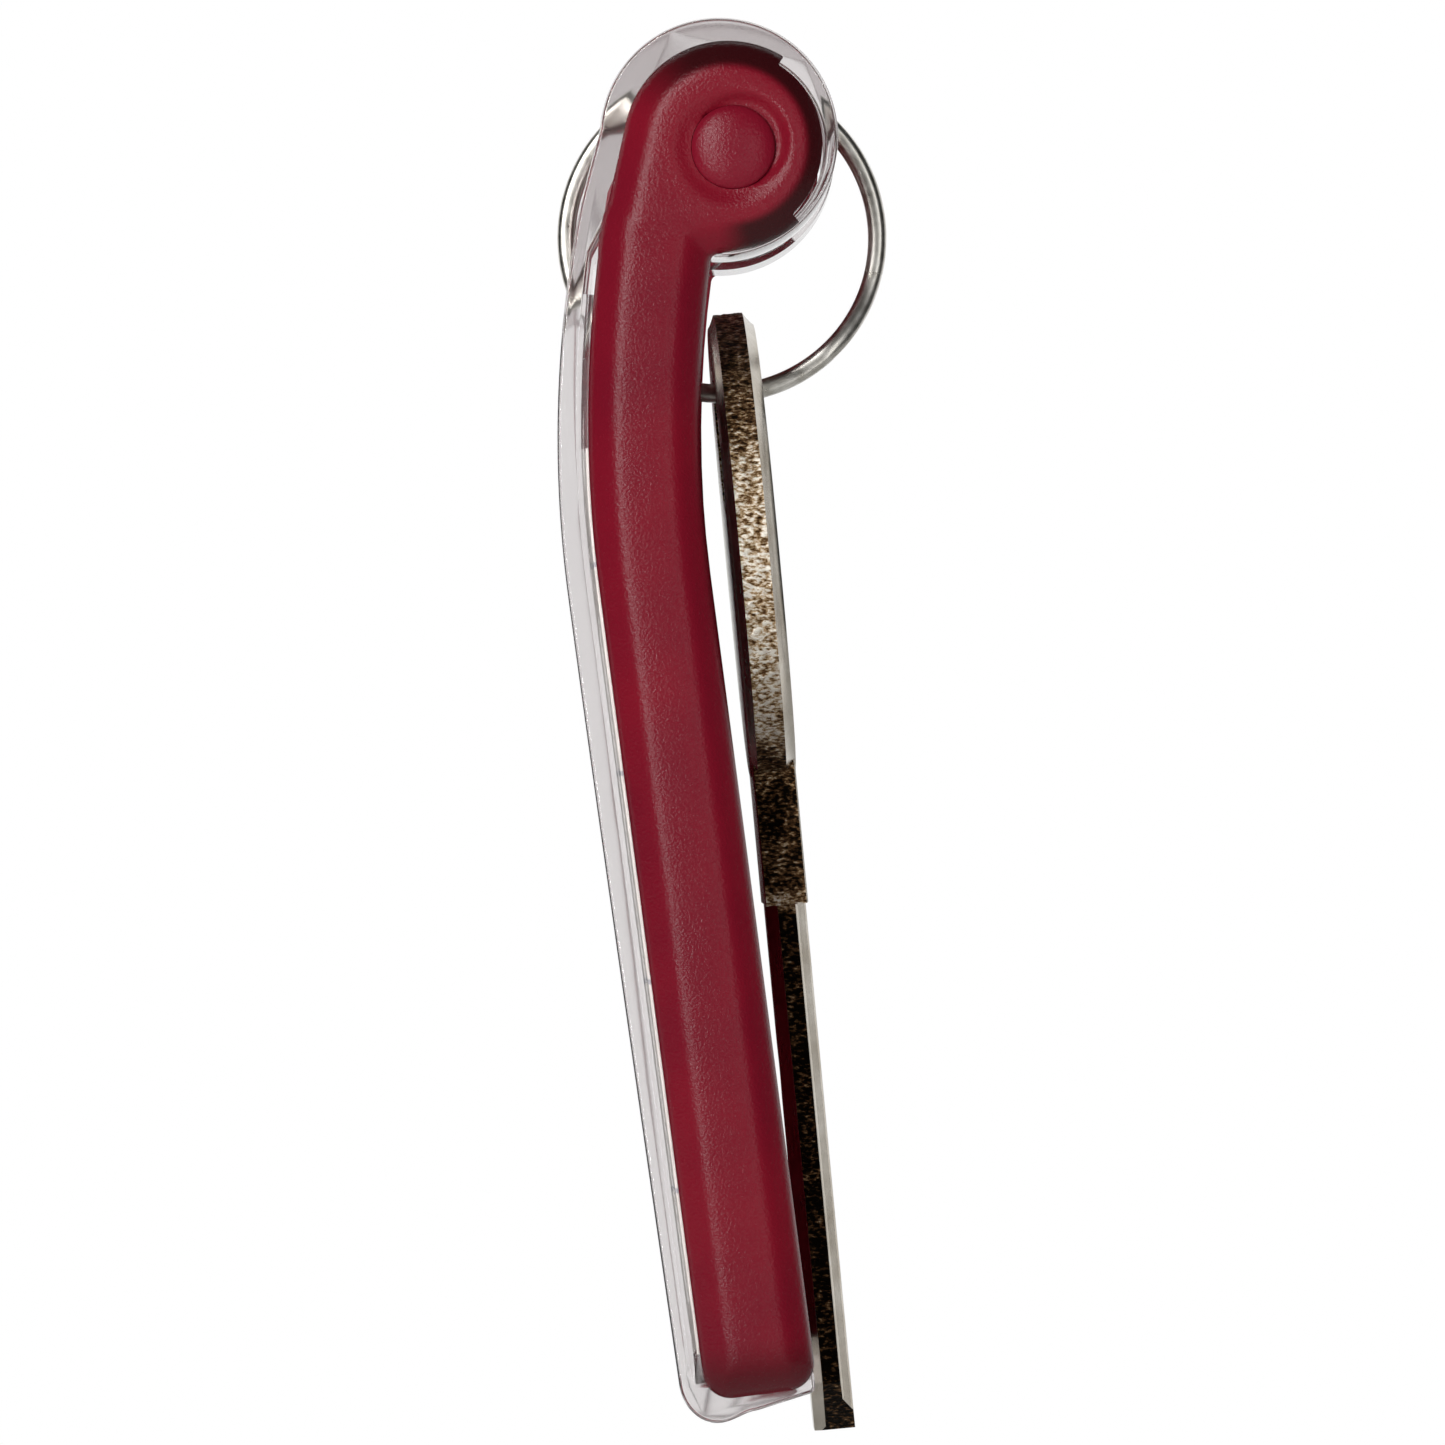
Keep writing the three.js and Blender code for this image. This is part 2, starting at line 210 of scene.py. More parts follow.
def settle(piece, sharp=40):
    """Applies a piece's modifiers to its mesh and merges the slivers they leave."""
    graph = bpy.context.evaluated_depsgraph_get()
    mesh = bpy.data.meshes.new_from_object(piece.evaluated_get(graph))
    work = bmesh.new()
    work.from_mesh(mesh)
    bmesh.ops.remove_doubles(work, verts=work.verts, dist=WELD)
    bmesh.ops.dissolve_degenerate(work, edges=work.edges, dist=WELD)
    work.to_mesh(mesh)
    work.free()
    piece.modifiers.clear()
    piece.data = mesh
    mesh.polygons.foreach_set("use_smooth", np.ones(len(mesh.polygons), bool))
    mesh.set_sharp_from_angle(angle=np.radians(sharp))


# ---- materials --------------------------------------------------------------------------------------

def linear(code):
    """An sRGB hex colour as linear RGBA."""
    srgb = np.array([int(code[i:i + 2], 16) for i in (1, 3, 5)]) / 255
    rgb = np.where(srgb <= 0.04045, srgb / 12.92, ((srgb + 0.055) / 1.055) ** 2.4)
    return (*rgb.tolist(), 1.0)


def node(tree, kind, inputs=(), **settings):
    """Adds a node, with its settings, and its inputs as values or as sockets to link from."""
    added = tree.nodes.new(kind)
    for key, value in settings.items():
        setattr(added, key, value)
    for key, value in dict(inputs).items():
        if isinstance(value, bpy.types.NodeSocket):
            tree.links.new(value, added.inputs[key])
        else:
            added.inputs[key].default_value = value
    return added


def blank(name):
    """A new material with only its shader: returns it, its tree, the shader and the Object
    coordinates, which are in metres."""
    material = bpy.data.materials.new(name)
    material.use_nodes = True
    tree = material.node_tree
    shader = tree.nodes["Principled BSDF"]
    place = node(tree, "ShaderNodeTexCoord").outputs["Object"]
    return material, tree, shader, place


def ramp(tree, factor, stops):
    """A colour ramp with stops of (position, hex colour)."""
    made = node(tree, "ShaderNodeValToRGB", {"Fac": factor})
    elements = made.color_ramp.elements
    while len(elements) < len(stops):
        elements.new(0.5)
    for element, (position, code) in zip(elements, stops):
        element.position = position
        element.color = linear(code)
    return made.outputs["Color"]


def blend(tree, factor, first, second):
    """A colour that goes from the first to the second with the factor; any of them can be a socket."""
    return node(tree, "ShaderNodeMix", {0: factor, 6: first, 7: second}, data_type="RGBA").outputs[2]


def relief(tree, height, strength, millimetres):
    """A bump from a height, as deep as the given millimetres at full strength."""
    return node(tree, "ShaderNodeBump", {"Height": height, "Strength": strength,
                                         "Distance": millimetres * MM}).outputs["Normal"]


def spread(tree, value, low, high, start=0.0, end=1.0):
    """A value taken from the range start to end into the range low to high."""
    return node(tree, "ShaderNodeMapRange", {"Value": value, "From Min": start, "From Max": end,
                                             "To Min": low, "To Max": high}).outputs["Result"]


def per_mm(features):
    """A texture scale that draws this many features in a millimetre."""
    return features / MM


def red_abs(name, shade="#7b1226", light="#881528"):
    """Injection-moulded ABS from a spark-eroded mould: satin, with a grain near 0.12 mm that breaks
    the highlight into fine specks, and faint flow clouds in the pigment."""
    material, tree, shader, place = blank(name)
    clouds = node(tree, "ShaderNodeTexNoise", {"Vector": place, "Scale": per_mm(0.12), "Detail": 3})
    grain = node(tree, "ShaderNodeTexNoise", {"Vector": place, "Scale": per_mm(7.5), "Detail": 3})
    colour = ramp(tree, clouds.outputs["Fac"], [(0.35, shade), (0.65, light)])
    # Painted shade: a per-point attribute mixes the colour towards dark #3c0f13, darkening the drum's rim
    # and underside and the tail's end as shade would.
    painted_shade = node(tree, "ShaderNodeAttribute", attribute_name="painted_shade")
    toned = blend(tree, painted_shade.outputs["Fac"], colour, linear("#3c0f13"))
    tree.links.new(toned, shader.inputs["Base Color"])
    tree.links.new(spread(tree, grain.outputs["Fac"], 0.17, 0.32), shader.inputs["Roughness"])
    bump = relief(tree, grain.outputs["Fac"], 0.7, 0.04)
    tree.links.new(bump, shader.inputs["Normal"])
    shader.inputs["IOR"].default_value = 1.53
    shader.inputs["Specular IOR Level"].default_value = 0.2
    return material


def clear_san():
    """Injection-moulded clear SAN: polished mould, a faint warm grey tint through its thickness and
    the slow ripple that moulded clear plastic shows."""
    material, tree, shader, place = blank("clear moulded SAN")
    ripple = node(tree, "ShaderNodeTexNoise", {"Vector": place, "Scale": per_mm(0.35), "Detail": 1})
    bump = relief(tree, ripple.outputs["Fac"], 0.25, 0.04)
    tree.links.new(bump, shader.inputs["Normal"])
    shader.inputs["Base Color"].default_value = linear("#dad6d6")
    shader.inputs["Roughness"].default_value = 0.09
    shader.inputs["IOR"].default_value = 1.5
    shader.inputs["Transmission Weight"].default_value = 1.0
    return material


def label_paper():
    """Uncoated white label stock, with fibres near 0.2 mm and pale grey ruled lines 10 mm apart."""
    material, tree, shader, place = blank("uncoated label paper")
    fibres = node(tree, "ShaderNodeTexNoise", {"Vector": place, "Scale": per_mm(3), "Detail": 5})
    paper = ramp(tree, fibres.outputs["Fac"], [(0.3, "#eeece6"), (0.7, "#f8f7f3")])
    split = node(tree, "ShaderNodeSeparateXYZ", {"Vector": place})
    rows = node(tree, "ShaderNodeMath", {0: split.outputs["Z"], 1: 5 * MM}, operation="PINGPONG")
    line = node(tree, "ShaderNodeMath", {0: rows.outputs[0], 1: 0.12 * MM}, operation="LESS_THAN")
    inked = blend(tree, line.outputs[0], paper, linear("#b9bcc2"))
    tree.links.new(inked, shader.inputs["Base Color"])
    shader.inputs["Roughness"].default_value = 0.85
    return material


def spring_steel():
    """Nickel-plated flat spring wire, rolled and tumbled: bright, with fine draw lines along it."""
    material, tree, shader, place = blank("nickel-plated spring wire")
    wear = node(tree, "ShaderNodeTexNoise", {"Vector": place, "Scale": per_mm(1.2), "Detail": 6})
    colour = ramp(tree, wear.outputs["Fac"], [(0.3, "#b8b4ab"), (0.6, "#dbd8d1"), (0.8, "#efece6")])
    tree.links.new(colour, shader.inputs["Base Color"])
    tree.links.new(spread(tree, wear.outputs["Fac"], 0.2, 0.42), shader.inputs["Roughness"])
    bump = relief(tree, wear.outputs["Fac"], 0.3, 0.02)
    tree.links.new(bump, shader.inputs["Normal"])
    shader.inputs["Metallic"].default_value = 1.0
    return material


def nickel_face():
    """Bright nickel plate over brass on the key's tumbled faces: warm silver with hairline
    scratches."""
    material, tree, shader, place = blank("nickel-plated brass, tumbled")
    clouds = node(tree, "ShaderNodeTexNoise", {"Vector": place, "Scale": per_mm(0.5), "Detail": 5})
    colour = ramp(tree, clouds.outputs["Fac"], [(0.3, "#b3aa9c"), (0.7, "#d3cdc3")])
    stretched = node(tree, "ShaderNodeMapping", {"Vector": place, "Scale": (1.0, 1.0, 0.06),
                                                 "Rotation": (0.2, 0.3, 0.1)})
    scratches = node(tree, "ShaderNodeTexNoise", {"Vector": stretched.outputs[0], "Scale": per_mm(6),
                                                  "Detail": 3})
    tree.links.new(colour, shader.inputs["Base Color"])
    tree.links.new(spread(tree, scratches.outputs["Fac"], 0.14, 0.34), shader.inputs["Roughness"])
    bump = relief(tree, scratches.outputs["Fac"], 0.2, 0.02)
    tree.links.new(bump, shader.inputs["Normal"])
    shader.inputs["Metallic"].default_value = 1.0
    return material


def sheared_edge():
    """The key's stamped edge under its plating: torn across its thickness with pits near 0.15 mm, dark and
    bronze in the pits and bright on the high grains. A ramp down the key paints in the light and shade the
    edge catches: a painted reflection bright round the middle of the bow, browner and darker at its top and
    neck, and painted shade nearly black along the blade."""
    material, tree, shader, place = blank("stamped edge, plated over")
    drawn = node(tree, "ShaderNodeMapping", {"Vector": place, "Scale": (1.0, 0.55, 1.2)})
    pits = node(tree, "ShaderNodeTexNoise", {"Vector": drawn.outputs[0], "Scale": per_mm(5.5), "Detail": 5,
                                             "Roughness": 0.62})
    patches = node(tree, "ShaderNodeTexNoise", {"Vector": place, "Scale": per_mm(0.9), "Detail": 2})
    split = node(tree, "ShaderNodeSeparateXYZ", {"Vector": place})
    height = spread(tree, split.outputs["Z"], 0, 1, -62 * MM, -11 * MM)
    # Painted light and shade: this ramp, by height down the key, lifts the edge to a painted reflection
    # round the middle of the bow and darkens it at the top, the neck and along the blade.
    painted_light_ramp = ramp(tree, height, [
        (0.49, "#9c9c9c"), (0.505, "#c0c0c0"), (0.52, "#a8a8a8"), (0.56, "#a6a6a6"), (0.6, "#a6a6a6"),
        (0.68, "#c5c5c5"), (0.8, "#c8c8c8"), (0.91, "#c6c6c6"), (0.96, "#b4b4b4")])
    wear = node(tree, "ShaderNodeMath", {0: pits.outputs["Fac"], 1: painted_light_ramp}, operation="ADD")
    drift = node(tree, "ShaderNodeMath", {0: patches.outputs["Fac"], 1: 0.25}, operation="MULTIPLY")
    wear = node(tree, "ShaderNodeMath", {0: wear.outputs[0], 1: drift.outputs[0]}, operation="ADD")
    level = spread(tree, wear.outputs[0], 0, 1, 0.93, 1.33)
    colour = ramp(tree, level, [(0.12, "#120e0a"), (0.42, "#66492f"), (0.62, "#b09672"), (0.85, "#e6e0d5")])
    tree.links.new(colour, shader.inputs["Base Color"])
    tree.links.new(spread(tree, level, 0.6, 0.28), shader.inputs["Roughness"])
    bump = relief(tree, pits.outputs["Fac"], 0.9, 0.1)
    tree.links.new(bump, shader.inputs["Normal"])
    shader.inputs["Metallic"].default_value = 1.0
    return material


def studio_floor():
    """A pale matt board."""
    material, tree, shader, place = blank("pale matt board")
    fibres = node(tree, "ShaderNodeTexNoise", {"Vector": place, "Scale": 40, "Detail": 4})
    colour = ramp(tree, fibres.outputs["Fac"], [(0.3, "#f1f1ef"), (0.7, "#f6f6f4")])
    tree.links.new(colour, shader.inputs["Base Color"])
    shader.inputs["Roughness"].default_value = 0.9
    return material


# ---- the red body -----------------------------------------------------------------------------------

def rounded_band(distance, offset, start, end, half, corner):
    """Distance inside a band of the spine with rounded corners; negative outside."""
    qx = np.abs(distance - (start + end) / 2) - ((end - start) / 2 - corner)
    qy = np.abs(offset) - (half - corner)
    return corner - np.hypot(np.maximum(qx, 0), np.maximum(qy, 0)) - np.minimum(np.maximum(qx, qy), 0)


def round_cone(y, z, start, start_r, end, end_r):
    """Distance inside two circles and the tangents that join them."""
    ay, az = end[0] - start[0], end[1] - start[1]
    length = np.hypot(ay, az)
    along = ((y - start[0]) * ay + (z - start[1]) * az) / length
    aside = np.abs((y - start[0]) * az - (z - start[1]) * ay) / length
    taper = (start_r - end_r) / length
    flat = np.sqrt(1 - taper * taper)
    where = flat * along - taper * aside
    joined = start_r - flat * aside - taper * along
    return np.where(where < 0, start_r - np.hypot(aside, along),
                    np.where(where > flat * length, end_r - np.hypot(aside, along - length), joined))


def blank_depth(distance, offset):
    """Distance inside the side wall's outline before it is notched and bored: the arm, and the drum
    drawn into it along the front by a tangent."""
    y, z = spine(distance, offset)
    arm = rounded_band(distance, offset, ARM_TOP, BODY_END, HALF_DEPTH, BODY_CORNER)
    neck = spine(-16.0, -1.4)
    drum = round_cone(y, z, (float(neck[0]), float(neck[1])), 1.28, (0.0, 0.0), FLANGE_R)
    return smooth_max(arm, drum, 0.3)


def flank_depth(distance, offset):
    """Distance inside the side wall's outline: the blank, less the drum's notch and the pin's bore."""
    y, z = spine(distance, offset)
    reach = np.hypot(y, z)
    angle = np.degrees(np.arctan2(z, y))
    within = np.radians(np.minimum(NOTCH_TO - angle, angle - NOTCH_FROM))
    notch = np.minimum(reach - NOTCH_R, within * reach)
    outline = np.minimum(blank_depth(distance, offset), -notch)
    return np.minimum(outline, np.hypot(y - PIN_Y, z - PIN_Z) - PIN_R - 0.015)


def flank_height(distance, offset):
    """Height of the side wall's outer face: nearly flat in the middle, a soft crease about 1.25 mm in
    from the edge, a slope outside it and a small round at the rim. The face dishes round the pin,
    deepest at its upper back, and falls away over the last 3 mm of the tail."""
    y, z = spine(distance, offset)
    inside = blank_depth(distance, offset)
    slope = 0.8 * 0.2 * np.logaddexp(0, (1.15 - inside) / 0.2)
    crown = 0.12 * (1 - np.clip(inside / HALF_DEPTH, 0, 1)) ** 2
    face = HALF_WIDTH - 0.02 - slope - crown - edge_drop(inside, 0.3, 0.25)
    dish = 0.24 * (1 - smooth_step(1.95, 3.0, np.hypot(y - PIN_Y, z - PIN_Z)))
    moat = 0.42 * (1 - smooth_step(1.9, 2.55, np.hypot(y - PIN_Y - 0.3, z - PIN_Z - 0.24)))
    face = face - np.maximum(dish, moat) - edge_drop(BODY_END - distance, 3.0, 0.4)
    return np.maximum(face, HALF_WIDTH - WALL + 0.22)


def slide_to_outline(distance, offset, limit):
    """Points near the side wall's rim moved onto it: five Newton steps down the slope of the depth,
    measured by central differences, each no longer than the limit."""
    step = 0.02
    for _ in range(5):
        here = flank_depth(distance, offset)
        slope_d = (flank_depth(distance + step, offset) - flank_depth(distance - step, offset)) / (2 * step)
        slope_t = (flank_depth(distance, offset + step) - flank_depth(distance, offset - step)) / (2 * step)
        pull = here / np.maximum(slope_d ** 2 + slope_t ** 2, 0.25)
        distance = distance - np.clip(pull * slope_d, -limit, limit)
        offset = offset - np.clip(pull * slope_t, -limit, limit)
    return distance, offset


def painted_shade_tone(distance, offset):
    """How much painted shade the side wall gets, 0 to 1: full round the rim of the drum's upper front and
    underside, where S-curves of the angle fade it, and 0.6 at the very end of the tail, where the edge
    rounds down away from the lights."""
    y, z = spine(distance, offset)
    angle = np.degrees(np.arctan2(z, y)) % 360
    round_drum = smooth_step(165, 110, angle) + smooth_step(262, 285, angle)
    tone = np.clip(round_drum, 0, 1) * smooth_step(1.45, 1.0, blank_depth(distance, offset))
    tone *= np.hypot(y, z) < FLANGE_R + 0.1
    return np.maximum(tone, 0.6 * smooth_step(3.0, 0.7, BODY_END - distance))


def relief_plate(name, cell, materials, side):
    """A side wall as a height field on a grid of spine distance and offset. Cells inside the outline
    are kept, the points on their rim are slid onto the outline, and a skirt closes the wall down to
    its inner face. side is 1 for +X and -1 for -X."""
    rows = np.arange(-27.5, BODY_END + 0.6, cell)
    columns = np.arange(-52, 53) * cell
    distance, offset = np.meshgrid(rows, columns, indexing="ij")
    depth = flank_depth(distance, offset)
    keep = (depth[:-1, :-1] + depth[1:, :-1] + depth[:-1, 1:] + depth[1:, 1:]) > 0
    touching = np.zeros(depth.shape, int)
    for i, j in ((0, 0), (1, 0), (0, 1), (1, 1)):
        touching[i:i + keep.shape[0], j:j + keep.shape[1]] += keep
    rim = (touching > 0) & (touching < 4)
    distance[rim], offset[rim] = slide_to_outline(distance[rim], offset[rim], cell)
    used = touching > 0
    number = np.cumsum(used).reshape(used.shape) - 1
    y, z = spine(distance[used], offset[used])
    outer = side * flank_height(distance[used], offset[used])
    inner = np.full(y.shape, side * WALL_FACE)
    points = np.concatenate([np.column_stack([outer, y, z]), np.column_stack([inner, y, z])])
    corners = np.stack([number[:-1, :-1], number[:-1, 1:], number[1:, 1:], number[1:, :-1]], -1)
    top = corners[keep]
    padded = np.pad(keep, 1)
    neighbours = (padded[:-2, 1:-1], padded[1:-1, 2:], padded[2:, 1:-1], padded[1:-1, :-2])
    skirt = []
    below = int(used.sum())
    for k, neighbour in enumerate(neighbours):
        edge = corners[keep & ~neighbour][:, [k, (k + 1) % 4]]
        skirt.append(np.column_stack([edge[:, 1], edge[:, 0], edge[:, 0] + below, edge[:, 1] + below]))
    wall = make_mesh(name, points, [top, top[:, ::-1] + below, np.concatenate(skirt)], materials, 50)
    # Painted shade for the red material: darkens the drum's rim and the tail's end.
    painted_shade = painted_shade_tone(distance[used], offset[used])
    tone = wall.data.attributes.new("painted_shade", "FLOAT", "POINT")
    tone.data.foreach_set("value", np.concatenate([painted_shade, painted_shade]).astype(np.float32))
    return wall


def body_core(materials):
    """The web, cross walls, journals and cross bar between the side walls: the CAD body with its side
    walls taken off, and its edges softened."""
    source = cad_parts["tag_body"].data.copy()
    work = bmesh.new()
    work.from_mesh(source)
    bmesh.ops.remove_doubles(work, verts=work.verts, dist=1e-7)
    work.to_mesh(source)
    work.free()
    core = bpy.data.objects.new("body_core", source)
    bpy.context.scene.collection.objects.link(core)
    source.materials.clear()
    source.materials.append(materials[0])
    outline = np.array([[-12.0, -70.0], [12.0, -70.0], [12.0, 12.0], [-12.0, 12.0]])
    points, faces = prism(outline, -CORE_HALF, CORE_HALF)
    cut_or_join(core, [make_mesh("core_limits", points, faces, materials)], "INTERSECT")
    bevel = core.modifiers.new("soft edges", "BEVEL")
    bevel.width = 0.12 * MM
    bevel.segments = 2
    bevel.limit_method = "ANGLE"
    bevel.angle_limit = np.radians(40)
    settle(core, 35)
    return core


# ---- pin, cover, label --------------------------------------------------------------------------------

def hinge_pin(materials):
    """The pin: a profile of radius against X spun about its axis, with a domed head at each end whose
    rim is rounded."""
    turn = np.linspace(0, np.pi / 2, 24)[1:]
    reach = np.concatenate([[0.001], PIN_R * np.sin(turn), [PIN_R, PIN_R]])
    x = np.concatenate([[PIN_TIP], PIN_RIM + PIN_DOME * np.cos(turn), [PIN_STEM, 0.0]])
    reach = np.concatenate([reach, reach[-2::-1]])
    x = np.concatenate([x, -x[-2::-1]])
    angle = np.linspace(0, 2 * np.pi, 96, endpoint=False)
    rings = np.stack([np.broadcast_to(x[:, None], (len(x), 96)),
                      PIN_Y + reach[:, None] * np.cos(angle), PIN_Z + reach[:, None] * np.sin(angle)], -1)
    return make_mesh("hinge_pin_domed", rings.reshape(-1, 3), capped(rings), materials)


def foot_outline():
    """The cover's foot from front to back, as spine distance and offset: a round front corner, the
    thumb lip, a cosine wave up behind it, and the small hook."""
    turn = np.linspace(0.06, np.pi / 2, 12)
    corner = np.column_stack([COVER_END + 2.1 * np.sin(turn), -2.1 - 1.77 * np.cos(turn)])
    t = np.linspace(0.1, 1, 12)
    wave = np.column_stack([39.93 + 0.185 * (1 + np.cos(np.pi * t)), -2.1 + 1.8 * t])
    run = np.column_stack([np.linspace(39.88, 39.5, 6), np.linspace(0.0, 2.1, 6)])
    tip = np.linspace(0.15, 1, 6) * np.pi / 2
    hook = np.column_stack([39.1 + 0.38 * np.cos(tip), 2.2 + 0.38 * np.sin(tip)])
    inside = np.array([[38.55, 2.58], [38.42, 2.5], [38.42, 2.36], [38.5, 2.25]])
    path = np.concatenate([corner, wave, run, hook, inside])
    return np.column_stack(spine(path[:, 0], path[:, 1]))


def cover_outline():
    """The cover's side outline: the roll round the head, the window plate, whose outer face stands off
    the spine by a gentle parabola and then tapers, and the foot."""
    outer_roll = arc(-0.43, 0.45, 5.7, np.radians(-96), np.radians(176), 120)
    inner_roll = arc(0, 0, 4.6, np.radians(191), np.radians(-96), 120)
    up = np.linspace(-17.5, 0, 28)
    bend = np.column_stack(spine(up, COVER_FRONT + 0.34 * (up / 17.5) ** 2))
    down = np.linspace(1.5, COVER_END, 30)
    window = np.column_stack(spine(down, COVER_FRONT + 0.35 * (down / COVER_END) ** 1.4))
    inner = beside(COVER_INNER, -15.4, 38.4, 60)[::-1]
    return np.concatenate([outer_roll, bend, window, foot_outline(), inner, inner_roll[:-1]])


def clear_cover(materials):
    """The cover: its side outline carried across the tag with rounded end edges, a rim down each side,
    the slot for the ring, and the gap in its foot for the key. Clear plastic hardly shades the label,
    so it casts no shadow."""
    points, faces = prism(cover_outline(), -COVER_HALF, COVER_HALF, COVER_EDGE)
    cover = make_mesh("cover_moulding", points, faces, materials)
    rim = np.concatenate([beside(-3.4, -13.5, 38.8, 60), beside(-2.62, -13.5, 38.8, 60)[::-1]])
    rims = []
    for side in (-1, 1):
        low, high = sorted((side * (COVER_HALF - COVER_RIM), side * (COVER_HALF - 0.02)))
        points, faces = prism(rim, low, high)
        rims.append(make_mesh("rim", points, faces, materials))
    cut_or_join(cover, rims, "UNION")
    cutters = []
    for outline in (arc(RING_Y, RING_Z, RING_OUT + 0.45, 0, 2 * np.pi, 121)[:-1],
                    arc(0, 0, FLANGE_R + 2.5, 0, 2 * np.pi, 97)[:-1]):
        points, faces = prism(outline, -EYE_HALF, EYE_HALF)
        cutters.append(make_mesh("slot", points, faces, materials))
    gap = np.array([[3.2, -63.0], [6.2, -63.0], [6.2, -56.0], [3.2, -56.0]])
    points, faces = prism(gap, -5.6, 5.6)
    cutters.append(make_mesh("key_gap", points, faces, materials))
    cut_or_join(cover, cutters, "DIFFERENCE")
    cover.visible_shadow = False
    return cover


def label_slip(materials):
    """The label: a thin sheet that follows the spine, a little clear of the web."""
    front = beside(LABEL_FRONT, LABEL_TOP, LABEL_END, 50)
    back = beside(LABEL_BACK, LABEL_TOP, LABEL_END, 50)[::-1]
    points, faces = prism(np.concatenate([front, back]), -LABEL_HALF, LABEL_HALF, 0.08, 3)
    return make_mesh("label_slip", points, faces, materials)


# ---- split ring ---------------------------------------------------------------------------------------

def split_ring(materials):
    """Two flat turns of rounded-rectangle wire. The angle runs on through both turns, and the wire
    crosses from one to the other on an S-curve beside its own cut ends."""
    steps, sides = 560, 28
    turn = np.linspace(0.3, 4 * np.pi - 0.3, steps)
    centre = (smooth_step(2 * np.pi - CROSSOVER, 2 * np.pi + CROSSOVER, turn) - 0.5) * TURN_PITCH
    angle = np.radians(-30) - turn
    corner = np.linspace(0, 2 * np.pi, sides, endpoint=False)
    squareness = 0.7
    across = np.sign(np.cos(corner)) * np.abs(np.cos(corner)) ** squareness
    along = np.sign(np.sin(corner)) * np.abs(np.sin(corner)) ** squareness
    middle, half_radial = (RING_IN + RING_OUT) / 2, (RING_OUT - RING_IN) / 2
    radius = np.broadcast_to(middle + half_radial * across, (steps, sides))
    x = centre[:, None] + WIRE_HALF * along[None, :]
    y = RING_Y + radius * np.cos(angle)[:, None]
    z = RING_Z + radius * np.sin(angle)[:, None]
    rings = np.stack([x, y, z], -1)
    return make_mesh("ring_wire", rings.reshape(-1, 3), capped(rings), materials)


# ---- key ------------------------------------------------------------------------------------------------

def hang(points):
    """Key coordinates (across, down from the ring's centre, thickness) placed in the frame: turned a
    little about its length, leant back about the ring's centre, and moved to it."""
    x, w, t = np.moveaxis(np.asarray(points, float), -1, 0)
    turned_x = x * np.cos(KEY_TWIST) - t * np.sin(KEY_TWIST)
    turned_y = x * np.sin(KEY_TWIST) + t * np.cos(KEY_TWIST)
    y = turned_y * np.cos(KEY_HANG) + w * np.sin(KEY_HANG)
    z = turned_y * np.sin(KEY_HANG) - w * np.cos(KEY_HANG)
    return np.stack([turned_x, RING_Y + y, RING_Z + z], -1)


def bow_outline(count):
    """A round bow a little squarer than an ellipse: powers of the sine and cosine of one angle."""
    angle = np.linspace(0, 2 * np.pi, count, endpoint=False)
    across = np.sign(np.sin(angle)) * np.abs(np.sin(angle)) ** 0.88
    down = np.sign(np.cos(angle)) * np.abs(np.cos(angle)) ** 0.88
    return np.column_stack([BOW_RX * across, BOW_TOP + BOW_RW - BOW_RW * down])


def plate(name, outline, thick, bevel, materials, band):
    """A stamped plate: an outline stacked through its thickness, with polished bevels and a rough band
    between the two given levels. The band's points are moved in and out by up to 0.04 mm of seeded
    lumps. Faces of the band take the second material."""
    half = thick / 2
    bevel_t = np.linspace(0, 1, 6)
    front_t = -half + (half + band[0]) * bevel_t
    front_in = bevel * (1 - bevel_t ** 1.25)
    band_t = np.linspace(band[0], band[1], 9)[1:-1]
    level = np.concatenate([front_t, band_t, (half - (half - band[1]) * bevel_t)[::-1]])
    shrink = np.concatenate([front_in, np.zeros(len(band_t)), front_in[::-1]])
    run = np.cumsum(np.linalg.norm(np.roll(outline, -1, 0) - outline, axis=1))
    rough = ((level > band[0] + 0.01) & (level < band[1] - 0.01))[:, None]
    torn = 0.035 * lumps(run[None, :], level[:, None] * 0.6, 0.16, 3) + 0.02 * lumps(
        run[None, :], level[:, None], 0.07, 8)
    rings = []
    for k, (t, s) in enumerate(zip(level, shrink)):
        flat = inset(outline, s) + inward(outline) * np.where(rough[k], 0.02 + torn[k], 0.0)[:, None]
        rings.append(np.column_stack([flat, np.full(len(flat), t)]))
    rings = np.array(rings)
    piece = make_mesh(name, hang(rings).reshape(-1, 3), capped(rings), materials, 50)
    first = len(front_t) - 1
    rows = np.arange((len(level) - 1) * len(outline)) // len(outline)
    index = np.zeros(len(piece.data.polygons), np.int32)
    index[:len(rows)] = (rows >= first) & (rows < first + len(band_t) + 1)
    piece.data.polygons.foreach_set("material_index", index)
    return piece


def dense(corners, spacing):
    """The outline of a polygon with points about this far apart along its sides."""
    corners = np.asarray(corners, float)
    parts = []
    for a, b in zip(corners, np.roll(corners, -1, 0)):
        count = max(2, int(np.linalg.norm(b - a) / spacing))
        parts.append(a + (b - a) * np.linspace(0, 1, count, endpoint=False)[:, None])
    return np.concatenate(parts)


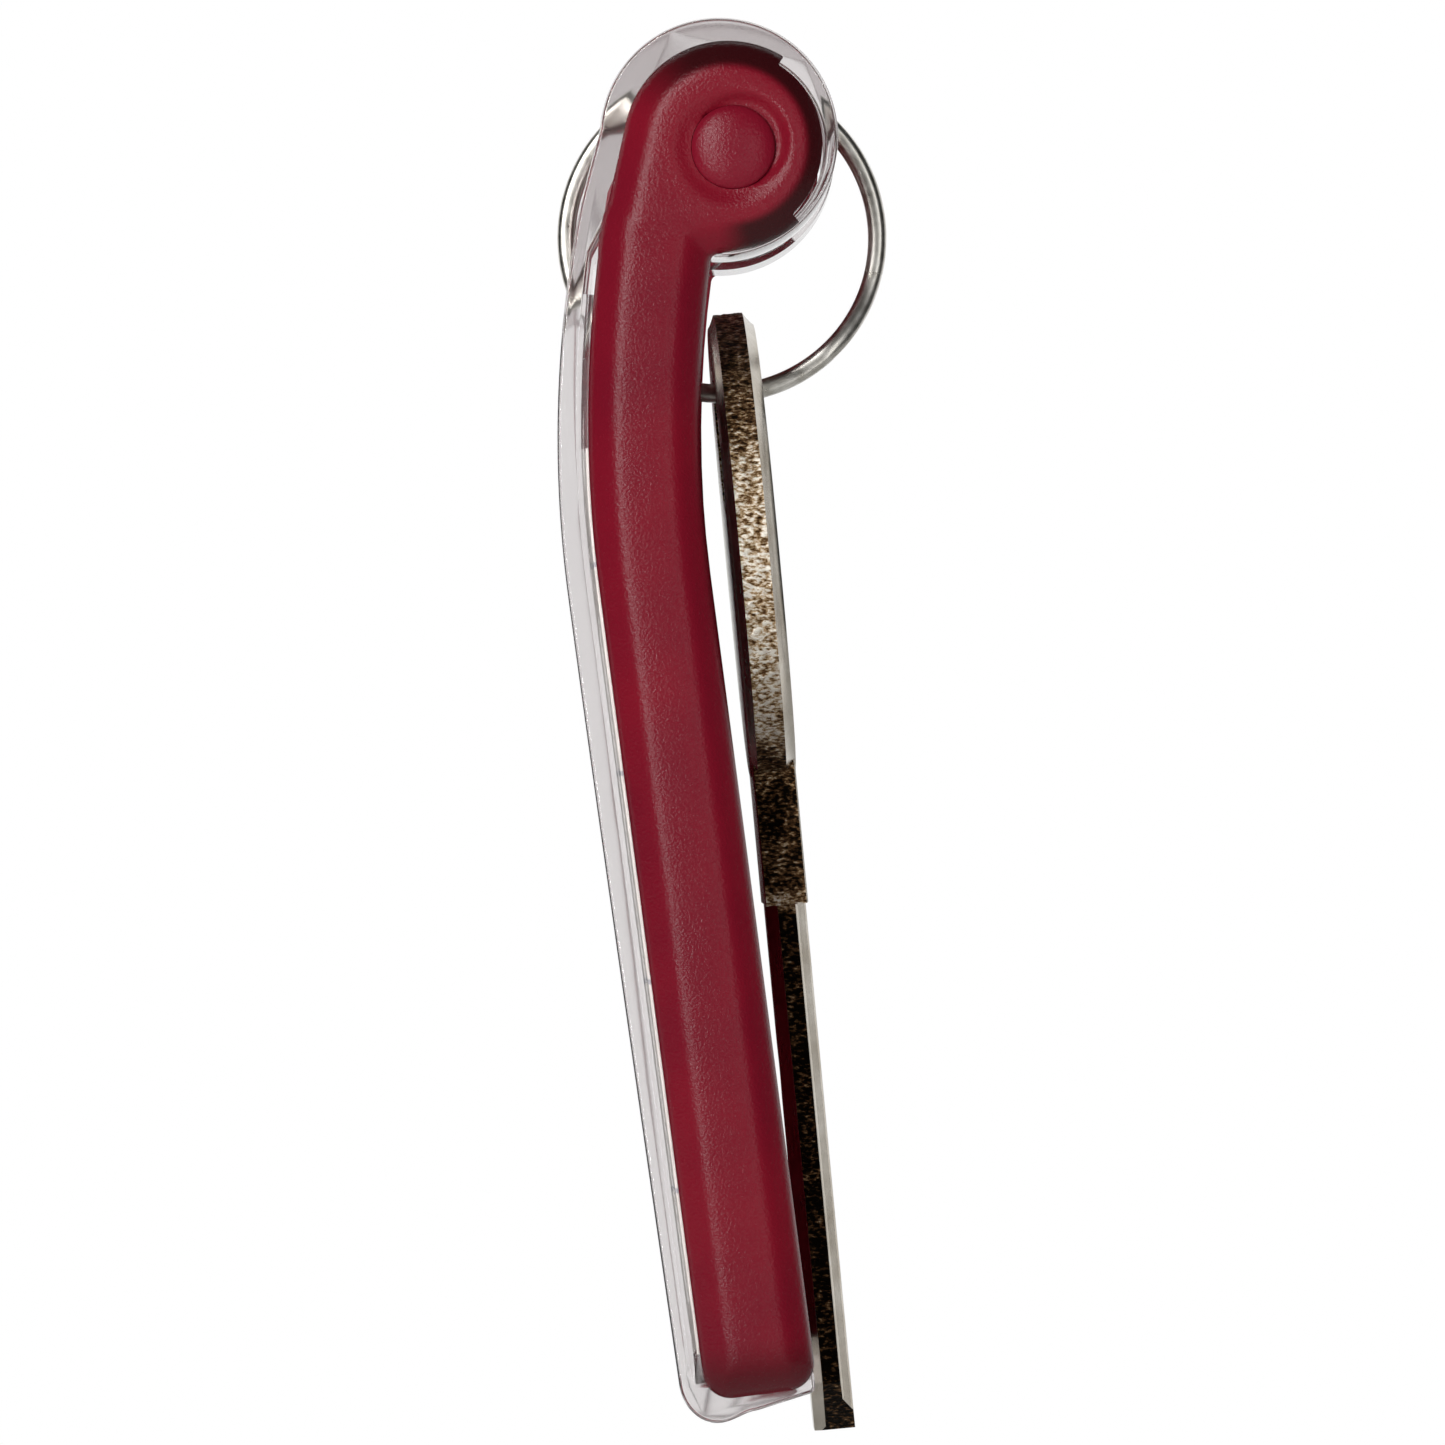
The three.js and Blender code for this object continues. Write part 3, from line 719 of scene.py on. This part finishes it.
def blade(materials):
    """The blade: its keyway section carried down from the shoulder. The section's spine at +X is thin
    and rough, and the sides step out and back in an S."""
    section = np.array([
        [4.25, -0.45], [4.25, 0.42], [3.4, 0.47], [2.8, 0.95], [1.2, 1.0], [0.7, 0.15], [-0.7, 0.1],
        [-1.2, 0.95], [-2.9, 0.95], [-4.25, 0.35], [-4.25, -0.45], [-2.3, -0.45], [-1.9, -1.0],
        [1.6, -1.0], [2.1, -0.45]])
    stations = np.linspace(SHOULDER - 1.0, TIP, 150)
    loop = dense(section, 0.16)
    rings = np.stack([np.column_stack([loop[:, 0], np.full(len(loop), w), loop[:, 1]]) for w in stations])
    worn = np.abs(rings[..., 0]) > 4.24
    rings[..., 0] -= np.where(worn, 0.02 + 0.03 * lumps(rings[..., 1], rings[..., 2], 0.15, 5), 0)
    piece = make_mesh("blade", hang(rings).reshape(-1, 3), capped(rings), materials, 35)
    spine_faces = np.tile(np.abs(loop[:, 0] + np.roll(loop[:, 0], -1)) / 2 > 4.24, len(stations) - 1)
    index = np.zeros(len(piece.data.polygons), np.int32)
    index[:len(spine_faces)] = spine_faces
    piece.data.polygons.foreach_set("material_index", index)
    return piece


def wedge(name, corners, materials, thick=5.0):
    """A cutter: a polygon across and down the key, wider than its thickness."""
    outline = np.asarray(corners, float)
    rings = np.stack([np.column_stack([outline, np.full(len(outline), t)]) for t in (-thick / 2, thick / 2)])
    cutter = make_mesh(name, hang(rings).reshape(-1, 3), capped(rings), materials)
    cutter.data.polygons.foreach_set("material_index", np.ones(len(cutter.data.polygons), np.int32))
    return cutter


def whole_key(materials):
    """The key: bow, neck and blade joined, then the ring hole, the five cuts and the sloped tip."""
    bow = plate("key_plated", bow_outline(560), KEY_THICK, 0.62, materials, (-0.8, 0.6))
    bow_end = BOW_TOP + 2 * BOW_RW
    neck_outline = dense([[-NECK_HALF, bow_end - 2.6], [NECK_HALF, bow_end - 2.6],
                          [NECK_HALF, SHOULDER], [-NECK_HALF - 0.8, SHOULDER]], 0.15)
    neck = plate("neck", neck_outline, KEY_THICK - 0.12, 0.08, materials, (-0.98, 0.98))
    cut_or_join(bow, [neck, blade(materials)], "UNION")
    angle = np.linspace(0, 2 * np.pi, 72, endpoint=False)
    hole = np.column_stack([HOLE_R * np.sin(angle), HOLE_DOWN - HOLE_R * np.cos(angle)])
    cutters = [wedge("hole", hole, materials)]
    down = np.linspace(SHOULDER + 0.6, TIP - 2.5, 240)
    bite = np.full(240, -4.7)
    for number, depth in enumerate(CUT_DEPTHS):
        aside = np.abs(down - (SHOULDER + FIRST_CUT + CUT_PITCH * number))
        bite = np.maximum(bite, depth - BLADE_HALF - np.maximum(0, aside - 0.4) / 1.1)
    bite[[0, -1]] = -4.7
    cutters.append(wedge("cuts", np.concatenate([np.column_stack([bite, down]),
                                                 [[-6.3, down[-1]], [-6.3, down[0]]]]), materials))
    for name, side, reach, inner in (("nose", -6, 4.4, -1.2), ("brow", 6, 4.2, 1.9)):
        cutters.append(wedge(name, [[side, TIP + 1], [side, TIP - reach], [inner, TIP + 0.02],
                                    [inner, TIP + 1]], materials))
    cut_or_join(bow, cutters, "DIFFERENCE")
    return bow


# ---- studio -----------------------------------------------------------------------------------------------

def area_light(name, place, size, power):
    """A rectangular soft light that faces the middle of the tag."""
    lamp = bpy.data.lights.new(name, "AREA")
    lamp.shape = "RECTANGLE"
    lamp.size, lamp.size_y = size
    lamp.energy = power
    light = bpy.data.objects.new(name, lamp)
    light.location = place
    target = light.location.copy()
    target.z -= TAG_MIDDLE
    light.visible_camera = False
    light.rotation_euler = target.to_track_quat("Z", "Y").to_euler()
    bpy.context.scene.collection.objects.link(light)


def black_dome():
    """A black felt shell round the +X side: part of a sphere, 6 mm thick, spun about the X axis from
    its pole to 114 degrees. The camera looks straight through it."""
    polar = np.radians(np.linspace(0.3, 114, 50))
    angle = np.linspace(0, 2 * np.pi, 64, endpoint=False)
    shell = np.concatenate([620 * np.column_stack([np.cos(polar), np.sin(polar)]),
                            626 * np.column_stack([np.cos(polar), np.sin(polar)])[::-1]])
    rings = np.stack([np.broadcast_to(shell[:, :1], (100, 64)), shell[:, 1:] * np.cos(angle),
                      shell[:, 1:] * np.sin(angle)], -1)
    felt = bpy.data.materials.new("black felt")
    felt.use_nodes = True
    felt.node_tree.nodes["Principled BSDF"].inputs["Base Color"].default_value = linear("#141414")
    dome = make_mesh("black_dome", rings.reshape(-1, 3), capped(rings), [felt])
    dome.visible_camera = dome.visible_transmission = False
    return dome


def studio():
    """White surroundings, a pale floor below the hanging tag, and a black dome round the near side that
    only reflections and bounced light see: it keeps the red deep and gives the metal its darks. One
    soft light stands at the front left and a narrow strip beside it draws the line along the edge.
    A strip right of the camera lights the ring's wire, and one further round the key's bevel."""
    scene = bpy.context.scene
    scene.view_settings.view_transform = "Standard"
    world = bpy.data.worlds.new("white studio")
    world.use_nodes = True
    world.node_tree.nodes["Background"].inputs["Color"].default_value = linear("#ffffff")
    world.node_tree.nodes["Background"].inputs["Strength"].default_value = 1.0
    scene.world = world
    angle = np.linspace(0, 2 * np.pi, 64, endpoint=False)
    disc = np.column_stack([250 * np.cos(angle), 250 * np.sin(angle)])
    rings = np.stack([np.column_stack([disc, np.full(64, z)]) for z in (-88.0, -85.0)])
    floor = make_mesh("floor", rings.reshape(-1, 3), capped(rings), [studio_floor()])
    black_dome()
    area_light("strip_edge", (0.46, -0.17, TAG_MIDDLE), (0.014, 0.8), 1.9)
    area_light("soft_front", (0.4, -0.22, 0.13), (0.16, 0.2), 0.55)
    area_light("strip_ring", (0.54, 0.16, TAG_MIDDLE), (0.03, 0.4), 0.34)
    area_light("strip_back", (-0.1, 0.5, 0.0), (0.14, 0.6), 0.2)


def camera():
    """Level with the middle of the tag, square on to its side, half a metre away. The lens gives a
    frame 70.7 mm wide at the tag's middle plane."""
    lens = bpy.data.cameras.new("camera")
    lens.sensor_width = 36
    lens.lens = 36 * 500 / 70.66
    lens.clip_start, lens.clip_end = 0.01, 10
    eye = bpy.data.objects.new("camera", lens)
    eye.location = (0.5, -0.00026, -0.02756)
    eye.rotation_euler = (np.pi / 2, 0, np.pi / 2)
    bpy.context.scene.collection.objects.link(eye)
    bpy.context.scene.camera = eye


# ---- assembly ---------------------------------------------------------------------------------------------

def place(piece, body, slot, *replaced):
    """Rides a piece on its body and hides the CAD nodes that it stands for. Its slot, a name for its finish,
    is not used.
    """
    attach(piece, body)
    if replaced:
        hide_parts(*replaced)


camera()
studio()
red = red_abs("red moulded ABS")
pin_red = red_abs("red moulded ABS, pin", "#791226", "#86152a")
for side, label in ((1, "right"), (-1, "left")):
    place(relief_plate(f"side_wall_{label}", HALF_DEPTH / 18, [red], side), "tag", "red_moulding")
place(body_core([red]), "tag", "red_moulding", "tag_body")
place(hinge_pin([pin_red]), "tag", "red_pin", "hinge_pin")
place(clear_cover([clear_san()]), "cover", "clear_moulding", "clear_cover")
place(label_slip([label_paper()]), "tag", "label_paper", "label_insert")
place(split_ring([spring_steel()]), "ring", "spring_steel", "split_ring")
place(whole_key([nickel_face(), sheared_edge()]), "key", "key_nickel", "key")
